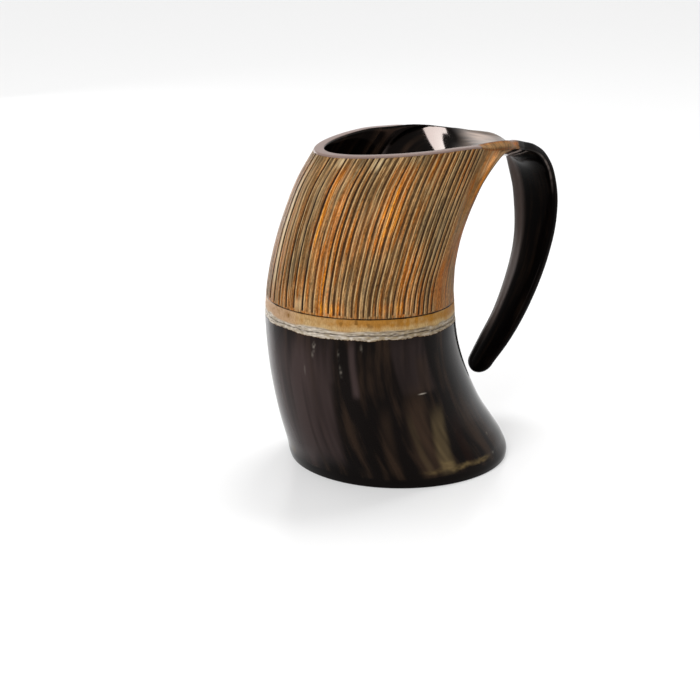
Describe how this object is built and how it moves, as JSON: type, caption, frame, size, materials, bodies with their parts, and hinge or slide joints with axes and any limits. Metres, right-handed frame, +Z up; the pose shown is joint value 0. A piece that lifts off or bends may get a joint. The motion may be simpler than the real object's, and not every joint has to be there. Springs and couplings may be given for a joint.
{
  "type": "horn drinking mug",
  "caption": "Handled drinking mug made from one curved horn: grooved upper field, ring band, flared foot with a pressed-in disc, and a handle cut from the horn's narrow end.",
  "frame": {"origin": "centre of the foot's underside", "axes": "+X toward the handle, +Y across the handle's plane, +Z up"},
  "size_m": [0.1638, 0.104, 0.15],
  "materials": {
    "horn_body": "ox horn, amber and grooved above the ring, near-black and polished below it, clear lacquer",
    "handle": "black horn, heat bent and polished",
    "base_disc": "black horn disc, sanded flat and lacquered",
    "seal_bead": "clear brown resin bead"
  },
  "bodies": {
    "root": {"horn_body": "horn_body", "handle": "handle", "base_disc": "base_disc", "seal_bead": "seal_bead"}
  },
  "joints": []
}
